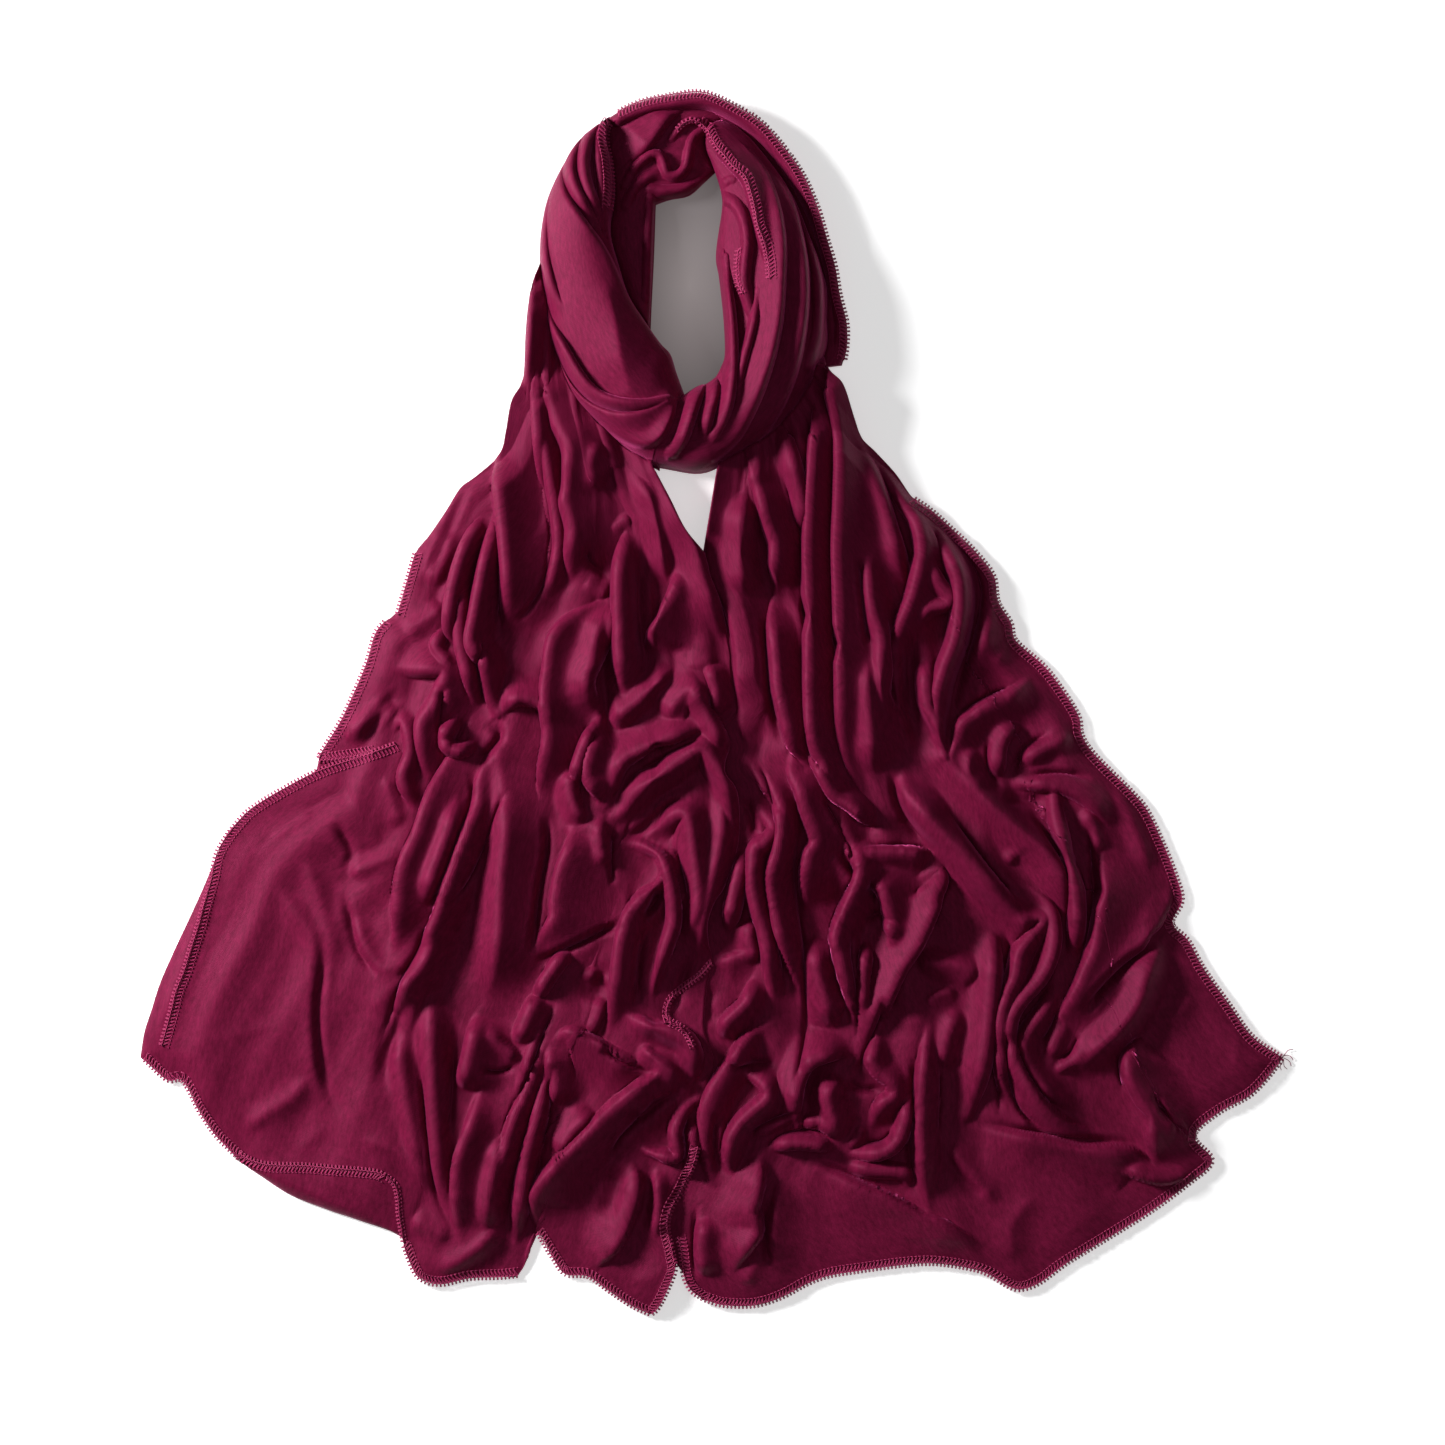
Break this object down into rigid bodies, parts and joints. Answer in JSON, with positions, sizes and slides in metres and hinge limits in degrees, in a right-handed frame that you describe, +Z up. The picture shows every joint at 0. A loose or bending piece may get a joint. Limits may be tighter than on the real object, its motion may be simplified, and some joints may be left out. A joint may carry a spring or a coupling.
{
  "type": "jersey scarf",
  "caption": "Jersey scarf laid flat, wound once into a neck loop, its two gathered tails spread out below in soft folds with overlocked edges.",
  "frame": {"origin": "middle of the scarf's footprint, on the surface it lies on", "axes": "+Z up, away from the surface; +Y along the scarf, from the hems of the tails to the neck loop; +X to the right, seen from above with the loop at the top"},
  "size_m": [0.6603, 0.7047, 0.045],
  "materials": {
    "jersey": "matte fine-gauge jersey knit, wine red, with a soft sheen"
  },
  "bodies": {
    "root": {"loop_back": "jersey", "loop_left": "jersey", "loop_right": "jersey", "tail_left": "jersey", "tail_right": "jersey"}
  },
  "joints": []
}
